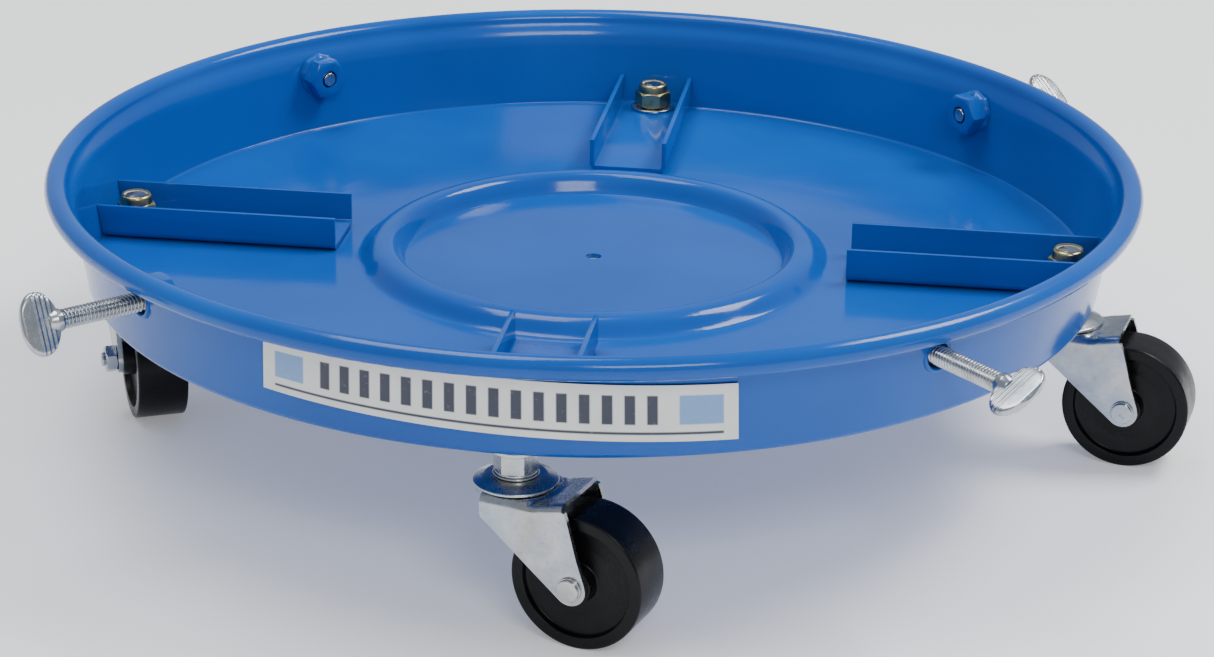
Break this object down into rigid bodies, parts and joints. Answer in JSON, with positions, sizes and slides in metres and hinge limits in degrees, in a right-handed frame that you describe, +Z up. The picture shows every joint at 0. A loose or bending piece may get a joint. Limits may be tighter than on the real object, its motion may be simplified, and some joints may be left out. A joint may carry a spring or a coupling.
{
  "type": "drum dolly",
  "caption": "Round steel tray with a rolled rim on swivel casters, with radial channel rests and thumb screws that clamp a drum for rolling.",
  "frame": {"origin": "on the floor, under the middle of the footprint; the tray's own axis is at x = -12 mm", "axes": "+Z up, +X towards the channel and caster on the right, -Y towards the label at the front"},
  "size_m": [0.4667, 0.4398, 0.114],
  "materials": {
    "blue_paint": "gloss blue enamel",
    "zinc": "bright zinc plate",
    "yellow_zinc": "yellow passivated zinc plate",
    "black_plastic": "moulded black plastic, lightly polished tread",
    "label": "pale printed film, plain pattern"
  },
  "bodies": {
    "root": {"tray_pan": "blue_paint", "label_plate": "label", "channel_right": "blue_paint", "stem_right": "zinc", "under_washer_right": "zinc", "top_washer_right": "zinc", "lock_nut_right": "yellow_zinc", "race_cap_right": "zinc", "channel_back": "blue_paint", "stem_back": "zinc", "under_washer_back": "zinc", "top_washer_back": "zinc", "lock_nut_back": "yellow_zinc", "race_cap_back": "zinc", "channel_left": "blue_paint", "stem_left": "zinc", "under_washer_left": "zinc", "top_washer_left": "zinc", "lock_nut_left": "yellow_zinc", "race_cap_left": "zinc", "channel_front": "blue_paint", "stem_front": "zinc", "under_washer_front": "zinc", "top_washer_front": "zinc", "lock_nut_front": "yellow_zinc", "race_cap_front": "zinc", "weld_nut_back_right": "blue_paint", "weld_nut_back_left": "blue_paint", "weld_nut_front_left": "blue_paint", "weld_nut_front_right": "blue_paint"},
    "swivel_right": {"fork_right": "zinc", "ball_ring_right": "zinc", "axle_bolt_right": "zinc", "axle_nut_right": "zinc"},
    "roller_right": {"wheel_right": "black_plastic"},
    "swivel_back": {"fork_back": "zinc", "ball_ring_back": "zinc", "axle_bolt_back": "zinc", "axle_nut_back": "zinc"},
    "roller_back": {"wheel_back": "black_plastic"},
    "swivel_left": {"fork_left": "zinc", "ball_ring_left": "zinc", "axle_bolt_left": "zinc", "axle_nut_left": "zinc"},
    "roller_left": {"wheel_left": "black_plastic"},
    "swivel_front": {"fork_front": "zinc", "ball_ring_front": "zinc", "axle_bolt_front": "zinc", "axle_nut_front": "zinc"},
    "roller_front": {"wheel_front": "black_plastic"},
    "screw_slide_back_right": {"screw_tip_back_right": "zinc"},
    "screw_turn_back_right": {"thumb_screw_back_right": "zinc"},
    "screw_slide_back_left": {"screw_tip_back_left": "zinc"},
    "screw_turn_back_left": {"thumb_screw_back_left": "zinc"},
    "screw_slide_front_left": {"screw_tip_front_left": "zinc"},
    "screw_turn_front_left": {"thumb_screw_front_left": "zinc"},
    "screw_slide_front_right": {"screw_tip_front_right": "zinc"},
    "screw_turn_front_right": {"thumb_screw_front_right": "zinc"}
  },
  "joints": [
    {"name": "caster_swivel_right", "type": "hinge", "parent": "root", "child": "swivel_right", "pos_m": [0.18, 0, 0.055], "axis": [0, 0, 1], "continuous": true},
    {"name": "wheel_roll_right", "type": "hinge", "parent": "swivel_right", "child": "roller_right", "pos_m": [0.20798, -0.00544, 0.0255], "axis": [0.1908, 0.9816, 0], "continuous": true},
    {"name": "caster_swivel_back", "type": "hinge", "parent": "root", "child": "swivel_back", "pos_m": [-0.012, 0.192, 0.055], "axis": [0, 0, 1], "continuous": true},
    {"name": "wheel_roll_back", "type": "hinge", "parent": "swivel_back", "child": "roller_back", "pos_m": [-0.03878, 0.20175, 0.0255], "axis": [-0.342, -0.9397, 0], "continuous": true},
    {"name": "caster_swivel_left", "type": "hinge", "parent": "root", "child": "swivel_left", "pos_m": [-0.204, 0, 0.055], "axis": [0, 0, 1], "continuous": true},
    {"name": "wheel_roll_left", "type": "hinge", "parent": "swivel_left", "child": "roller_left", "pos_m": [-0.19196, -0.02583, 0.0255], "axis": [0.9063, 0.4226, 0], "continuous": true},
    {"name": "caster_swivel_front", "type": "hinge", "parent": "root", "child": "swivel_front", "pos_m": [-0.012, -0.192, 0.055], "axis": [0, 0, 1], "continuous": true},
    {"name": "wheel_roll_front", "type": "hinge", "parent": "swivel_front", "child": "roller_front", "pos_m": [0.01525, -0.20033, 0.0255], "axis": [0.2924, 0.9563, 0], "continuous": true},
    {"name": "screw_feed_back_right", "type": "slide", "parent": "root", "child": "screw_slide_back_right", "axis": [-0.7254, -0.6884, 0], "range_m": [-0.0049, 0.0241]},
    {"name": "screw_turn_back_right", "type": "hinge", "parent": "screw_slide_back_right", "child": "screw_turn_back_right", "pos_m": [0.16354, 0.16658, 0.0967], "axis": [-0.7254, -0.6884, 0], "range_deg": [-1152, 5760]},
    {"name": "screw_feed_back_left", "type": "slide", "parent": "root", "child": "screw_slide_back_left", "axis": [0.7145, -0.6997, 0], "range_m": [-0.0049, 0.0241]},
    {"name": "screw_turn_back_left", "type": "hinge", "parent": "screw_slide_back_left", "child": "screw_turn_back_left", "pos_m": [-0.1849, 0.16932, 0.0967], "axis": [0.7145, -0.6997, 0], "range_deg": [-1152, 5760]},
    {"name": "screw_feed_front_left", "type": "slide", "parent": "root", "child": "screw_slide_front_left", "axis": [0.7145, 0.6997, 0], "range_m": [-0.0049, 0.0241]},
    {"name": "screw_turn_front_left", "type": "hinge", "parent": "screw_slide_front_left", "child": "screw_turn_front_left", "pos_m": [-0.1849, -0.16932, 0.0967], "axis": [0.7145, 0.6997, 0], "range_deg": [-1152, 5760]},
    {"name": "screw_feed_front_right", "type": "slide", "parent": "root", "child": "screw_slide_front_right", "axis": [-0.6997, 0.7145, 0], "range_m": [-0.0049, 0.0241]},
    {"name": "screw_turn_front_right", "type": "hinge", "parent": "screw_slide_front_right", "child": "screw_turn_front_right", "pos_m": [0.15732, -0.1729, 0.0967], "axis": [-0.6997, 0.7145, 0], "range_deg": [-1152, 5760]}
  ],
  "couplings": [
    {"joint": "screw_feed_back_right", "follows": "screw_turn_back_right", "m_per_rad": 0.00023873},
    {"joint": "screw_feed_back_left", "follows": "screw_turn_back_left", "m_per_rad": 0.00023873},
    {"joint": "screw_feed_front_left", "follows": "screw_turn_front_left", "m_per_rad": 0.00023873},
    {"joint": "screw_feed_front_right", "follows": "screw_turn_front_right", "m_per_rad": 0.00023873}
  ]
}
